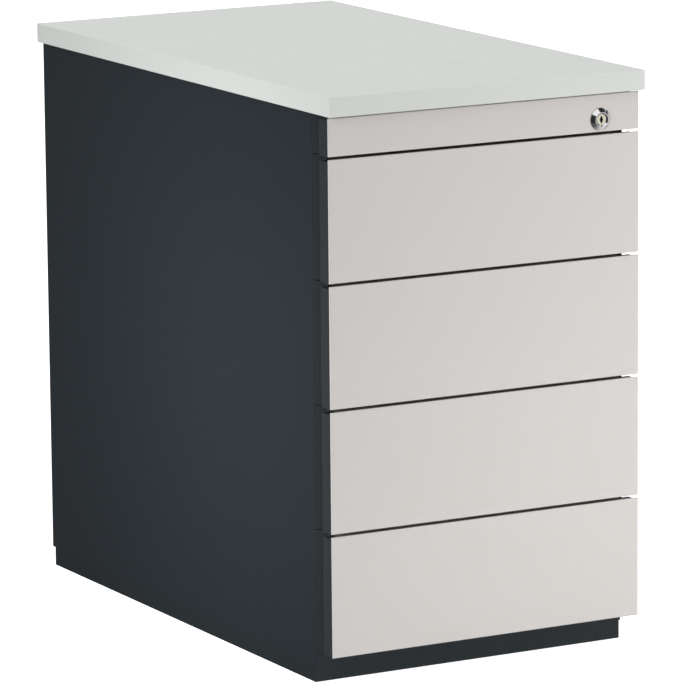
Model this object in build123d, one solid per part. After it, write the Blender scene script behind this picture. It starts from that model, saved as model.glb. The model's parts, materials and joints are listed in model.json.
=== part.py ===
"""Floor-standing steel drawer unit at desk height: a utility tray and four drawers under a coated top.

Millimetres, +Z up, fronts facing -Y, +X to the right of someone facing the fronts.
The origin is on the floor, under the middle of the top.
"""

from math import cos, hypot, pi, radians, sin
import os

from build123d import *

# Overall sizes
body_width = 430.0
total_height = 720.0
carcass_depth = 732.0
front_depth = 41.0  # from the carcass to the faces of the fronts
plinth_height = 24.0
board_thickness = 25.0
board_side_overhang = 3.0
board_front_overhang = 9.0
board_rear_overhang = 10.0
edge_band = 2.0
edge_round = 1.5

# Folded sheet of the carcass
sheet = 1.0
bend_radius = 1.5
flange_width = 16.0
base_lip = 15.0
frame_height = 14.0
frame_depth = 30.0
upright_width = 40.0
upright_sheet = 1.2
upright_gap = 6.0

# Plinth
plinth_sheet = 1.5
plinth_flange = 20.0
plinth_front_recess = 4.0
plinth_rear_recess = 8.0

# Levelling screws
foot_inset = 24.0
foot_pad_diameter = 36.0
foot_pad_height = 6.0
foot_pad_chamfer = 1.0
foot_lift = 0.6  # the pads clear the floor while the plinth stands on it
foot_stem_diameter = 10.0
foot_stem_top = 22.0  # above the underside of the base
foot_slot_width = 1.6
foot_slot_depth = 3.0
bush_diameter = 18.0
bush_length = 14.0
thread_clearance = 0.3

# Fronts
front_gap = 3.5
top_gap = 2.0
strip_height = 46.0
face_plate = 2.0
face_round = 1.2
face_edge_depth = 23.0  # from the face to the finger groove
groove_depth = 10.0
groove_floor = 6.0  # the flat stretch of the groove, before it slopes out to the carcass
pan_sheet = 1.0
fold_recess = 3.0  # upper fold of the pan below the upper edge of the face plate
pan_end_gap = 1.0  # between the ends of a pan and what is above them
pan_clearance = 1.0  # between the pan and the carcass
drawer_count = 4

# Drawer boxes
box_sheet = 1.0
box_length = 640.0
box_height = 105.0
box_lift = 14.0  # above the lower edge of the front
hem_width = 4.0
hem_height = 8.0
catch_width = 16.0
catch_reach = 10.7
catch_drop = 21.0  # below the rim of the box

# Telescopic rails
rail_height = 45.0
rail_length = 650.0
rail_sheet = 1.2
rail_thickness = 12.7
rail_setback = 6.0
rail_lift = 28.0  # middle of the rail above the underside of the box
rail_clearance = 0.3
outer_lip = 9.5
middle_lip = 9.5

# Utility tray and its runners
tray_length = 400.0
tray_depth = 26.7
tray_wall = 2.0
tray_lip_width = 11.0
tray_lip_height = 5.4
tray_top_clearance = 1.3
pen_length = 190.0
pen_troughs = 3
runner_sheet = 1.0
runner_clearance = 0.3
runner_lock_gap = 2.5  # between the right runner and the arm of the lock bar

# Lock
lock_from_side = 55.0  # lock axis to the right edge of the fronts
lock_lift = 15.5  # lock axis above the lower edge of the strip
bezel_diameter = 28.0
bezel_height = 4.4
bezel_rim = 0.8
bezel_crest = 0.6
bezel_dish = 1.8
barrel_diameter = 18.0
barrel_length = 21.0
core_diameter = 13.0
core_recess = 1.7
core_clearance = 0.3
keyhole_width = 2.8
keyhole_height = 8.0
keyhole_depth = 8.0
keyhole_eye = 4.6
core_end = 1.5
drive_square = 7.0
nut_across = 21.0
nut_height = 4.0
nut_clearance = 0.15
cam_thickness = 2.5
cam_rim = 1.5
pin_orbit = 6.5
pin_diameter = 4.0
pin_room = 0.8
pin_tail = 2.0
pin_rest_angle = -45.0  # degrees from +X, a quarter turn before the locked place

# Lock bar
bar_width = 12.0
bar_sheet = 2.0
bar_setback = 5.0
bar_gap = 1.5
bar_foot = 12.0
arm_half_height = 8.0
arm_end = 4.0
lug_height = 8.0
lug_reach = 11.5
lug_clearance = 0.8
guide_height = 16.0
guide_wall = 3.0
guide_clearance = 0.3
guide_side_gap = 0.4

# Fasteners
screw_diameter = 4.0
screw_head = 8.0
screw_head_height = 2.4
screw_length = 15.0
short_screw_length = 5.0
screw_clearance = 0.3
pilot_clearance = 0.1
top_screw_shares = (0.25, 0.5, 0.75)  # along the depth of the carcass
back_screw_shares = (0.12, 0.5, 0.88)  # up the height of the carcass
front_screw_x_shares = (-0.32, 0.32)  # of the width of the box
front_screw_z_shares = (0.24, 0.76)  # of the height of the box
tray_screw_shares = (-0.34, 0.34)  # of the width of the tray
overrun = 5.0  # how far cuts run past their faces

# Planes worked out from the sizes above
half_width = body_width / 2
board_depth = board_front_overhang + front_depth + carcass_depth + board_rear_overhang
board_front_y = -board_depth / 2
face_y = board_front_y + board_front_overhang
carcass_front_y = face_y + front_depth
carcass_back_y = carcass_front_y + carcass_depth
carcass_top_z = total_height - board_thickness
base_top_z = plinth_height + sheet
front_bottom_z = plinth_height + base_lip
frame_bottom_z = carcass_top_z - sheet - frame_height
rail_plane = half_width - flange_width  # inner faces of the uprights
skin_inside = half_width - sheet
box_half = rail_plane - rail_thickness
rail_front_y = carcass_front_y + rail_setback
upright_front_y = carcass_front_y + sheet + frame_depth + upright_gap
upright_rear_y = rail_front_y + rail_length - upright_width - upright_gap
stack_height = carcass_top_z - top_gap - front_bottom_z
drawer_height = (stack_height - strip_height) / drawer_count - front_gap
strip_bottom_z = carcass_top_z - top_gap - strip_height

pan_front_y = face_y + face_plate
groove_y = face_y + face_edge_depth
pan_back_y = carcass_front_y - pan_clearance
pan_neck = half_width - groove_depth
slope_y = groove_y + groove_floor

lock_x = half_width - lock_from_side
lock_z = strip_bottom_z + lock_lift
pin_dx = pin_orbit * cos(radians(pin_rest_angle))
pin_dz = pin_orbit * sin(radians(pin_rest_angle))
bar_travel = -2 * pin_dz
bar_front_y = carcass_front_y + bar_setback
bar_back_y = bar_front_y + bar_sheet
bar_x = rail_plane + bar_gap
pin_slot_x = lock_x + pin_dx - pin_diameter / 2 - pin_room  # left end of the slot in the arm
arm_left_x = pin_slot_x - arm_end

tray_top_z = frame_bottom_z - tray_top_clearance
tray_bottom_z = tray_top_z - tray_depth
lip_bottom_z = tray_top_z - tray_lip_height
runner_outside = arm_left_x - runner_lock_gap
tray_half = runner_outside - runner_sheet - runner_clearance - tray_lip_width
tray_width = 2 * tray_half

nodes = {}


def block(x0, x1, y0, y1, z0, z1):
    """A box between two opposite corners."""
    middle = Pos((x0 + x1) / 2, (y0 + y1) / 2, (z0 + z1) / 2)
    return middle * Box(x1 - x0, y1 - y0, z1 - z0)


def rod_y(x, z, y0, y1, diameter):
    """A round bar along Y."""
    return Pos(x, (y0 + y1) / 2, z) * Rot(90, 0, 0) * Cylinder(diameter / 2, y1 - y0)


def rod_z(x, y, z0, z1, diameter):
    """A round bar along Z."""
    return Pos(x, y, (z0 + z1) / 2) * Cylinder(diameter / 2, z1 - z0)


def mirrored(shape):
    """The same piece on the other side of the unit."""
    return shape.mirror(Plane.YZ)


def pair(piece):
    """A right-hand piece and its mirror image."""
    return [piece, mirrored(piece)]


def group(solids):
    """Separate solids that share one node."""
    return Compound(list(solids))


def drawer_bottom(number):
    """Lower edge of a drawer's front, where drawer 1 is the upper one."""
    return front_bottom_z + (drawer_count - number) * (drawer_height + front_gap)


def share_places(start, length, shares):
    """Places at hand-picked shares of a length."""
    return [start + share * length for share in shares]


# Places of the screws that hold the top and the back
flange_middle = half_width - flange_width / 2
top_screw_ys = share_places(carcass_front_y, carcass_depth, top_screw_shares)
back_screw_zs = share_places(plinth_height, carcass_top_z - plinth_height, back_screw_shares)
screw_hole = screw_diameter + 2 * screw_clearance


# Carcass

def side_panel():
    """Leaves of the right side: an outer skin, and front, rear and top flanges folded inwards."""
    z0, z1 = plinth_height, carcass_top_z
    panel = block(rail_plane, half_width, carcass_front_y, carcass_back_y, z0, z1)
    corners = panel.edges().filter_by(Axis.Z).group_by(Axis.X)[-1]
    panel = fillet(corners, bend_radius)
    y0, y1 = carcass_front_y + sheet, carcass_back_y - sheet
    panel -= block(rail_plane - overrun, skin_inside, y0, y1, z0 - overrun, z1 - sheet)
    for y in top_screw_ys:
        panel -= rod_z(flange_middle, y, z1 - overrun, z1 + overrun, screw_hole)
    for z in back_screw_zs:
        panel -= rod_y(flange_middle, z, y1 - overrun, y1 + overrun, screw_hole)
    leaves = [
        block(skin_inside, half_width, carcass_front_y, carcass_back_y, z0, z1),
        block(rail_plane, skin_inside, carcass_front_y, y0, z0, z1),
        block(rail_plane, skin_inside, y1, carcass_back_y, z0, z1),
        block(rail_plane, skin_inside, y0, y1, z1 - sheet, z1),
    ]
    return [panel & leaf for leaf in leaves]


def back_panel():
    """Flat sheet screwed inside the rear flanges of the sides."""
    y1 = carcass_back_y - sheet
    z1 = carcass_top_z - sheet
    panel = block(-skin_inside, skin_inside, y1 - sheet, y1, plinth_height, z1)
    for x in (-flange_middle, flange_middle):
        for z in back_screw_zs:
            panel -= rod_y(x, z, y1 - overrun, y1 + overrun, screw_hole)
    return panel


def foot_places():
    """Axes of the four levelling screws, inside the corners of the plinth."""
    inset = plinth_flange + foot_inset
    x = half_width - inset
    front = carcass_front_y + plinth_front_recess + inset
    rear = carcass_back_y - plinth_rear_recess - inset
    return {
        "front_left": (-x, front), "front_right": (x, front),
        "rear_left": (-x, rear), "rear_right": (x, rear),
    }


def base_panel():
    """Leaves of the floor of the carcass: a sheet, and a lip folded up at its front and its rear."""
    y0, y1 = carcass_front_y + sheet, carcass_back_y - 2 * sheet
    floor = block(-skin_inside, skin_inside, y0, y1, plinth_height, base_top_z)
    hole = foot_stem_diameter + 2 * thread_clearance
    for x, y in foot_places().values():
        floor -= rod_z(x, y, plinth_height - overrun, base_top_z + overrun, hole)
    lips = [
        block(-skin_inside, skin_inside, y, y + sheet, base_top_z, front_bottom_z)
        for y in (y0, y1 - sheet)
    ]
    return [floor, *lips]


def top_frame(y0, y1, web_y0, web_y1):
    """Cross channel under the top: a web between an upper and a lower flange."""
    z1 = carcass_top_z - sheet
    upper = block(-skin_inside, skin_inside, y0, y1, z1 - sheet, z1)
    web = block(-skin_inside, skin_inside, web_y0, web_y1, frame_bottom_z, z1)
    lower = block(-skin_inside, skin_inside, y0, y1, frame_bottom_z, frame_bottom_z + sheet)
    return upper + web + lower


def upright(y0):
    """Channel behind the right side, whose web carries the rails."""
    y1 = y0 + upright_width
    z0, z1 = base_top_z, carcass_top_z - sheet
    channel = block(rail_plane, skin_inside, y0, y1, z0, z1)
    x0 = rail_plane + upright_sheet
    return channel - block(x0, half_width, y0 + upright_sheet, y1 - upright_sheet, z0 - overrun, z1 + overrun)


side_leaves = side_panel()
nodes["side_panel_right"] = group(side_leaves)
nodes["side_panel_left"] = group(mirrored(leaf) for leaf in side_leaves)
nodes["back_panel"] = back_panel()
nodes["base_panel"] = group(base_panel())

frame_y = carcass_front_y + sheet
nodes["top_frame_front"] = top_frame(frame_y, frame_y + frame_depth, frame_y, frame_y + sheet)
frame_y = carcass_back_y - 2 * sheet
nodes["top_frame_rear"] = top_frame(frame_y - frame_depth, frame_y, frame_y - sheet, frame_y)

right_uprights = [upright(upright_front_y), upright(upright_rear_y)]
nodes["uprights_right"] = group(right_uprights)
nodes["uprights_left"] = group(mirrored(piece) for piece in right_uprights)


# Plinth

def plinth_sections():
    """A ring of channel section, cut into four pieces by mitres at its corners."""
    y0, y1 = carcass_front_y + plinth_front_recess, carcass_back_y - plinth_rear_recess
    x1, t, f = half_width, plinth_sheet, plinth_flange
    ring = block(-x1, x1, y0, y1, 0, plinth_height)
    ring -= block(-x1 + t, x1 - t, y0 + t, y1 - t, t, plinth_height - t)
    ring -= block(-x1 + f, x1 - f, y0 + f, y1 - f, -overrun, plinth_height + overrun)
    reach = f + overrun
    corner = {
        "front": [(-x1, y0), (x1, y0), (x1 - reach, y0 + reach), (reach - x1, y0 + reach)],
        "rear": [(x1, y1), (-x1, y1), (reach - x1, y1 - reach), (x1 - reach, y1 - reach)],
        "left": [(-x1, y1), (-x1, y0), (reach - x1, y0 + reach), (reach - x1, y1 - reach)],
        "right": [(x1, y0), (x1, y1), (x1 - reach, y1 - reach), (x1 - reach, y0 + reach)],
    }
    return {
        side: ring & extrude(make_face(Polyline(*points, close=True)), plinth_height)
        for side, points in corner.items()
    }


for side, section in plinth_sections().items():
    nodes[f"plinth_{side}"] = section


# Levelling screws

def levelling_screw(x, y):
    """A round pad on a threaded stem, slotted at the top for a screwdriver."""
    pad_top = foot_lift + foot_pad_height
    pad = rod_z(x, y, foot_lift, pad_top, foot_pad_diameter)
    pad = chamfer(pad.edges().filter_by(GeomType.CIRCLE), foot_pad_chamfer)
    stem_top = plinth_height + foot_stem_top
    reach = foot_stem_diameter / 2 + overrun
    slot = block(x - reach, x + reach, y - foot_slot_width / 2, y + foot_slot_width / 2,
                 stem_top - foot_slot_depth, stem_top + overrun)
    return pad + rod_z(x, y, pad_top, stem_top, foot_stem_diameter) - slot


def bush(x, y):
    """Threaded sleeve under the base."""
    z0 = plinth_height - bush_length
    hole = foot_stem_diameter + 2 * thread_clearance
    sleeve = rod_z(x, y, z0, plinth_height, bush_diameter)
    return sleeve - rod_z(x, y, z0 - overrun, plinth_height + overrun, hole)


for corner, (x, y) in foot_places().items():
    nodes[f"levelling_screw_{corner}"] = levelling_screw(x, y)
nodes["foot_bushes"] = group(bush(x, y) for x, y in foot_places().values())


# Work top

board_half = half_width + board_side_overhang
board_back_y = board_front_y + board_depth
core_half = board_half - edge_band


def top_board():
    """Coated board, with pilot holes for the screws from below."""
    y0, y1 = board_front_y + edge_band, board_back_y - edge_band
    board = block(-core_half, core_half, y0, y1, carcass_top_z, total_height)
    pilot = screw_diameter + 2 * pilot_clearance
    for x in (-flange_middle, flange_middle):
        for y in top_screw_ys:
            board -= rod_z(x, y, carcass_top_z - overrun, carcass_top_z + screw_length, pilot)
    return board


def band(x0, x1, y0, y1, axis, side):
    """Edge strip, rounded along its outer upper and lower edges."""
    strip = block(x0, x1, y0, y1, carcass_top_z, total_height)
    outer = strip.faces().sort_by(axis)[side]
    along = outer.edges().filter_by(Axis.Z, reverse=True)
    return fillet(along, edge_round)


nodes["top_board"] = top_board()
nodes["top_edge_front"] = band(-board_half, board_half, board_front_y, board_front_y + edge_band, Axis.Y, 0)
nodes["top_edge_rear"] = band(-board_half, board_half, board_back_y - edge_band, board_back_y, Axis.Y, -1)
side_y0, side_y1 = board_front_y + edge_band, board_back_y - edge_band
nodes["top_edge_right"] = band(core_half, board_half, side_y0, side_y1, Axis.X, -1)
nodes["top_edge_left"] = mirrored(nodes["top_edge_right"])


# Fasteners of the carcass

def top_screw(x, y):
    """Screw from below, through a flange of the side into the board."""
    head_top = carcass_top_z - sheet
    head = rod_z(x, y, head_top - screw_head_height, head_top, screw_head)
    return head + rod_z(x, y, head_top, head_top + screw_length, screw_diameter)


def screw_y(x, z, seat_y, tip_y, head_y):
    """Screw along Y, whose head lies between its seat and head_y."""
    shank = rod_y(x, z, min(seat_y, tip_y), max(seat_y, tip_y), screw_diameter)
    return shank + rod_y(x, z, min(seat_y, head_y), max(seat_y, head_y), screw_head)


nodes["top_screws"] = group(top_screw(x, y) for x in (-flange_middle, flange_middle) for y in top_screw_ys)
nodes["back_screws"] = group(
    screw_y(x, z, carcass_back_y, carcass_back_y - short_screw_length, carcass_back_y + screw_head_height)
    for x in (-flange_middle, flange_middle)
    for z in back_screw_zs
)


# Telescopic rails: three channels, each running inside the next

def channel_x(x0, x1, y0, y1, z_middle, height, web_outside):
    """A channel on the right side, with its web at the outer or the inner end of its width."""
    z0, z1 = z_middle - height / 2, z_middle + height / 2
    solid = block(x0, x1, y0, y1, z0, z1)
    cut_x0 = x0 - overrun if web_outside else x0 + rail_sheet
    cut_x1 = x1 - rail_sheet if web_outside else x1 + overrun
    return solid - block(cut_x0, cut_x1, y0 - overrun, y1 + overrun, z0 + rail_sheet, z1 - rail_sheet)


middle_height = rail_height - 2 * (rail_sheet + rail_clearance)
inner_height = middle_height - 2 * (rail_sheet + rail_clearance)
rail_step = rail_sheet + rail_clearance
rail_back_y = rail_front_y + rail_length


def rail_middle_z(number):
    """Height of the middle of a drawer's rails."""
    return drawer_bottom(number) + box_lift + rail_lift


def outer_rail(number):
    """Fixed to the uprights."""
    z = rail_middle_z(number)
    return channel_x(rail_plane - outer_lip, rail_plane, rail_front_y, rail_back_y, z, rail_height, True)


def middle_rail(number):
    """Travels half as far as the drawer."""
    x1 = rail_plane - rail_step
    z = rail_middle_z(number)
    return channel_x(x1 - middle_lip, x1, rail_front_y, rail_back_y, z, middle_height, True)


def inner_rail(number):
    """Fixed to the side of the drawer box."""
    x1 = rail_plane - 2 * rail_step
    y1 = min(rail_back_y, pan_back_y + box_length)
    return channel_x(box_half, x1, rail_front_y, y1, rail_middle_z(number), inner_height, False)


drawers = range(1, drawer_count + 1)
nodes["outer_rails"] = group(rail for number in drawers for rail in pair(outer_rail(number)))


# Fronts: a face plate on a pan, whose drawn-in sides are the finger grooves

def face(bottom, top):
    """Face plate with softened edges."""
    plate = block(-half_width, half_width, face_y, pan_front_y, bottom, top)
    return fillet(plate.faces().sort_by(Axis.Y)[0].edges(), face_round)


def flared(front_half, y0, back_half, y1, z0, z1):
    """An upright prism that grows from one half width in front to another behind."""
    corners = [(-front_half, y0), (front_half, y0), (back_half, y1), (-back_half, y1)]
    return Pos(0, 0, z0) * extrude(make_face(Polyline(*corners, close=True)), z1 - z0)


def pan(bottom, top, gap_above):
    """Folded pan behind a face plate: frame as wide as the plate, narrow neck, and heel that widens again.

    The ends of the neck and the heel rise into the gap above, so that the finger groove runs on there.
    """
    z0, z1, t = bottom, top - fold_recess, pan_sheet
    ends_top = top + gap_above - pan_end_gap
    inside = block(t - pan_neck, pan_neck - t, pan_front_y - overrun, slope_y + overrun, z0 + t, z1 - t)
    frame = block(-half_width, half_width, pan_front_y, groove_y, z0, z1) - inside
    frame -= block(t - half_width, half_width - t, pan_front_y - overrun, groove_y - t, z0 + t, z1 - t)
    neck = block(-pan_neck, pan_neck, groove_y, slope_y, z0, ends_top) - inside
    neck -= block(t - pan_neck, pan_neck - t, groove_y - overrun, slope_y + overrun, z1, ends_top + overrun)
    slope = pan_back_y - slope_y
    skew = t * hypot(groove_depth, slope) / slope  # the sheet's thickness, measured across the unit
    heel = flared(pan_neck, slope_y, half_width, pan_back_y, z0, ends_top)
    back = block(-half_width, half_width, pan_back_y - t, pan_back_y, z0, z1)
    for low, high in ((z0 + t, z1 - t), (z1, ends_top + overrun)):
        heel -= flared(pan_neck - skew, slope_y, half_width - skew, pan_back_y, low, high) - back
    return frame, neck, heel


# Drawers

def front_screw_places(number):
    """Axes of the screws that hold a front to its box."""
    z0 = drawer_bottom(number) + box_lift
    xs = share_places(0, 2 * box_half, front_screw_x_shares)
    zs = share_places(z0, box_height, front_screw_z_shares)
    return [(x, z) for x in xs for z in zs]


def drawer_box(number):
    """Leaves of a steel box: floor, walls, a hem along each side, and the lock's catch on the right."""
    z0 = drawer_bottom(number) + box_lift
    z1, t = z0 + box_height, box_sheet
    y0, y1 = pan_back_y, pan_back_y + box_length
    inside = box_half - t
    floor = block(-inside, inside, y0 + t, y1 - t, z0, z0 + t)
    front = block(-inside, inside, y0, y0 + t, z0, z1)
    for x, z in front_screw_places(number):
        front -= rod_y(x, z, y0 - overrun, y0 + overrun, screw_hole)
    rear = block(-inside, inside, y1 - t, y1, z0, z1)
    sides = pair(block(inside, box_half, y0, y1, z0, z1))
    hems = pair(block(box_half, box_half + hem_width, y0, y1, z1 - hem_height, z1))
    catch_z = z1 - catch_drop
    catch_y = bar_front_y
    catch = block(box_half, box_half + catch_reach, catch_y, catch_y + catch_width, catch_z, catch_z + t)
    return [floor, front, rear, *sides, *hems, catch]


def drawer_pan(number):
    """Pan of a drawer's front, drilled for the screws from its box."""
    bottom = drawer_bottom(number)
    frame, neck, heel = pan(bottom, bottom + drawer_height, front_gap)
    for x, z in front_screw_places(number):
        heel -= rod_y(x, z, pan_back_y - overrun, pan_back_y + overrun, screw_hole)
    return [frame, neck, heel]


for number in drawers:
    name = f"drawer_{number}"
    bottom = drawer_bottom(number)
    seat = pan_back_y + box_sheet
    nodes[f"{name}_front"] = face(bottom, bottom + drawer_height)
    nodes[f"{name}_pan"] = group(drawer_pan(number))
    nodes[f"{name}_box"] = group(drawer_box(number))
    nodes[f"{name}_inner_rails"] = group(pair(inner_rail(number)))
    nodes[f"{name}_middle_rails"] = group(pair(middle_rail(number)))
    nodes[f"{name}_screws"] = group(
        screw_y(x, z, seat, seat - short_screw_length, seat + screw_head_height)
        for x, z in front_screw_places(number)
    )


# Utility tray

def tray_screw_places():
    """Axes of the screws that hold the strip to the tray."""
    z = (tray_bottom_z + tray_top_z) / 2
    return [(x, z) for x in share_places(0, tray_width, tray_screw_shares)]


def utility_tray():
    """Plates of a moulded tray: floor, walls, pen dividers in front of a bin, and a lip along each side."""
    y0, y1, w = pan_back_y, pan_back_y + tray_length, tray_wall
    low, top = tray_bottom_z + w, tray_top_z
    inside = tray_half - w
    pen_y = y0 + w + pen_length
    pitch = (tray_width - w) / pen_troughs
    floor = block(-tray_half, tray_half, y0, y1, tray_bottom_z, low)
    front = block(-tray_half, tray_half, y0, y0 + w, low, top)
    for x, z in tray_screw_places():
        front -= rod_y(x, z, y0 - overrun, y0 + w + overrun, screw_hole)
    rear = block(-tray_half, tray_half, y1 - w, y1, low, top)
    sides = pair(block(inside, tray_half, y0 + w, y1 - w, low, top))
    cross = block(-inside, inside, pen_y, pen_y + w, low, top)
    lips = pair(block(tray_half, tray_half + tray_lip_width, rail_front_y, y1, lip_bottom_z, top))
    plates = [floor, front, rear, *sides, cross, *lips]
    for index in range(1, pen_troughs):
        x0 = index * pitch - tray_half
        plates.append(block(x0, x0 + w, y0 + w, pen_y, low, top))
    return plates


def runner():
    """Channel under the top frames, round the right lip of the tray."""
    c, t = runner_clearance, runner_sheet
    x0, x1 = tray_half + c, runner_outside
    y0, y1 = carcass_front_y + sheet, carcass_back_y - 2 * sheet
    z0, z1 = lip_bottom_z - c - t, frame_bottom_z
    return block(x0, x1, y0, y1, z0, z1) - block(
        x0 - overrun, x1 - t, y0 - overrun, y1 + overrun, z0 + t, tray_top_z + c
    )


def strip_face():
    """Face plate of the strip, bored for the lock."""
    hole = barrel_diameter + 2 * nut_clearance
    return face(strip_bottom_z, strip_bottom_z + strip_height) - rod_y(
        lock_x, lock_z, face_y - overrun, pan_front_y + overrun, hole
    )


def strip_pan():
    """Pan of the strip, with a hole behind the lock and holes for the screws from the tray."""
    frame, neck, heel = pan(strip_bottom_z, strip_bottom_z + strip_height, top_gap)
    hole = 2 * (pin_orbit + pin_room) + pin_diameter
    heel -= rod_y(lock_x, lock_z, pan_back_y - overrun, pan_back_y + overrun, hole)
    for x, z in tray_screw_places():
        heel -= rod_y(x, z, pan_back_y - overrun, pan_back_y + overrun, screw_hole)
    return [frame, neck, heel]


tray_seat = pan_back_y + tray_wall
nodes["utility_front"] = strip_face()
nodes["utility_pan"] = group(strip_pan())
nodes["utility_tray"] = group(utility_tray())
nodes["utility_screws"] = group(
    screw_y(x, z, tray_seat, tray_seat - short_screw_length, tray_seat + screw_head_height)
    for x, z in tray_screw_places()
)
nodes["tray_runners"] = group(pair(runner()))


# Lock

bezel_front_y = face_y - bezel_height
barrel_back_y = face_y + barrel_length
core_front_y = bezel_front_y + core_recess
core_back_y = barrel_back_y + core_end
cam_back_y = core_back_y + cam_thickness


def lock_housing():
    """Conical bezel on a low rim, and the barrel behind it, bored for the core and dished round the bore."""
    bore = core_diameter + 2 * core_clearance
    rim_y = face_y - bezel_rim
    crest = bore / 2 + bezel_dish + bezel_crest
    flank = Rot(90, 0, 0) * Cone(bezel_diameter / 2, crest, rim_y - bezel_front_y)
    housing = Pos(lock_x, (rim_y + bezel_front_y) / 2, lock_z) * flank
    housing += rod_y(lock_x, lock_z, rim_y, face_y, bezel_diameter)
    housing += rod_y(lock_x, lock_z, face_y, barrel_back_y, barrel_diameter)
    housing -= rod_y(lock_x, lock_z, bezel_front_y - overrun, barrel_back_y + overrun, bore)
    mouth = housing.edges().filter_by(GeomType.CIRCLE).group_by(Axis.Y)[0].sort_by(SortBy.RADIUS)[0]
    return chamfer(mouth, bezel_dish)


def lock_core():
    """Turning core with its keyhole in front and a square behind for the cam."""
    core = rod_y(lock_x, lock_z, core_front_y, core_back_y, core_diameter)
    half = drive_square / 2
    core += block(lock_x - half, lock_x + half, core_back_y, cam_back_y, lock_z - half, lock_z + half)
    deep = core_front_y + keyhole_depth
    half_w, half_h = keyhole_width / 2, keyhole_height / 2
    slit_x, slit_z = (lock_x - half_w, lock_x + half_w), (lock_z - half_h, lock_z + half_h)
    core -= block(*slit_x, core_front_y - overrun, deep, *slit_z)
    return core - rod_y(lock_x, lock_z, core_front_y - overrun, deep, keyhole_eye)


def lock_cam():
    """Disc on the square of the core, with a pin that lifts the lock bar."""
    disc = rod_y(lock_x, lock_z, core_back_y, cam_back_y, 2 * (pin_orbit + cam_rim) + pin_diameter)
    half = drive_square / 2
    square_x, square_z = (lock_x - half, lock_x + half), (lock_z - half, lock_z + half)
    disc -= block(*square_x, core_back_y - overrun, cam_back_y + overrun, *square_z)
    return disc + rod_y(lock_x + pin_dx, lock_z + pin_dz, cam_back_y, bar_back_y + pin_tail, pin_diameter)


def lock_nut():
    """Hexagon nut that clamps the barrel to the face plate."""
    outline = RegularPolygon(nut_across / 2, 6, major_radius=False)
    nut = Pos(lock_x, pan_front_y, lock_z) * Rot(-90, 0, 0) * extrude(outline, nut_height)
    hole = barrel_diameter + 2 * nut_clearance
    return nut - rod_y(lock_x, lock_z, pan_front_y - overrun, pan_front_y + nut_height + overrun, hole)


def lug_top(number):
    """Upper edge of a lug at rest, so that its full lift ends just below the catch."""
    catch_z = drawer_bottom(number) + box_lift + box_height - catch_drop
    return catch_z - lug_clearance - bar_travel


def lock_bar():
    """Flat bar behind the right front flange, with an arm to the cam and a lug for each drawer."""
    slot_x1 = lock_x + pin_orbit + pin_diameter / 2 + pin_room
    slot_z = lock_z + pin_dz
    slot_half = pin_diameter / 2 + pin_room
    y0, y1 = bar_front_y, bar_back_y
    low = lug_top(drawer_count) - lug_height - bar_foot
    bar = block(bar_x, bar_x + bar_width, y0, y1, low, slot_z + arm_half_height)
    bar += block(arm_left_x, bar_x, y0, y1, slot_z - arm_half_height, slot_z + arm_half_height)
    bar -= block(pin_slot_x, slot_x1, y0 - overrun, y1 + overrun, slot_z - slot_half, slot_z + slot_half)
    for number in drawers:
        top = lug_top(number)
        bar += block(bar_x - lug_reach, bar_x, y0, y1, top - lug_height, top)
    return bar


def bar_guide(number):
    """Clip on the right side that the bar slides through, level with the gap under a drawer."""
    z = drawer_bottom(number) - front_gap / 2
    z0, z1, c = z - guide_height / 2, z + guide_height / 2, guide_clearance
    y0, y1 = bar_front_y - guide_wall, bar_back_y + guide_wall
    clip = block(rail_plane + guide_side_gap, skin_inside, y0, y1, z0, z1)
    slot_x, slot_y = (bar_x - c, bar_x + bar_width + c), (bar_front_y - c, bar_back_y + c)
    return clip - block(*slot_x, *slot_y, z0 - overrun, z1 + overrun)


nodes["lock_housing"] = lock_housing()
nodes["lock_core"] = lock_core()
nodes["lock_cam"] = lock_cam()
nodes["lock_nut"] = lock_nut()
nodes["lock_bar"] = lock_bar()
nodes["lock_bar_guides"] = group(bar_guide(number) for number in drawers if number % 2)

os.makedirs("parts", exist_ok=True)
for name, shape in nodes.items():
    export_step(shape, f"parts/{name}.step")
print(len(nodes), "nodes,", f"lock bar lifts {bar_travel:.3f} mm in {pi / 2:.4f} rad")
print("drawer fronts", round(drawer_height, 3), "mm tall, lock axis at", round(lock_x, 2), round(lock_z, 2))
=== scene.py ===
# %% [markdown]
# # A steel drawer unit
# The object is an office unit that stands on the floor beside a desk: a pale coated top, a dark carcass
# on a low plinth, a shallow tray with a lock, and four drawers behind plain fronts. Its solids, sizes and
# joints are made already and come in as one fixed frame. This lesson dresses that frame: view, light,
# finishes, and the small pieces that show from close by.

# %% The frame
import json
import math

import bmesh
import bpy
from mathutils import Matrix, Vector


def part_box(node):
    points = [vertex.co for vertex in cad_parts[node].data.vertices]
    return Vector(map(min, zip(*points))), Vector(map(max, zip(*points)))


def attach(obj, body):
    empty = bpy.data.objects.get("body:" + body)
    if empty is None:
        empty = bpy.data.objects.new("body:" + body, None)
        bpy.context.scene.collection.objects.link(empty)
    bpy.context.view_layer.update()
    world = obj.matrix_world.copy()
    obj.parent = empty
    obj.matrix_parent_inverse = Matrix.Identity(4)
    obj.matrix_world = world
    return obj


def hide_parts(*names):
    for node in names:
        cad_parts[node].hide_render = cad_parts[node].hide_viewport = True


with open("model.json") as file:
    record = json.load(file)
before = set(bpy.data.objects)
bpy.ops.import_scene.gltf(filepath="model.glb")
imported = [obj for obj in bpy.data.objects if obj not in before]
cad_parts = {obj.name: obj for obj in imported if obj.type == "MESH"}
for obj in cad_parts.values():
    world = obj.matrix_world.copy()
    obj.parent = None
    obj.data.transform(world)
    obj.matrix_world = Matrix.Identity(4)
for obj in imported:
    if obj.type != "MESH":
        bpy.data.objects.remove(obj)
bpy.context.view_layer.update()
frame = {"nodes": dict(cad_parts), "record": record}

nodes = frame["nodes"]
scene = bpy.context.scene
millimetre = 0.001
drawer_numbers = range(1, 5)

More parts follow.
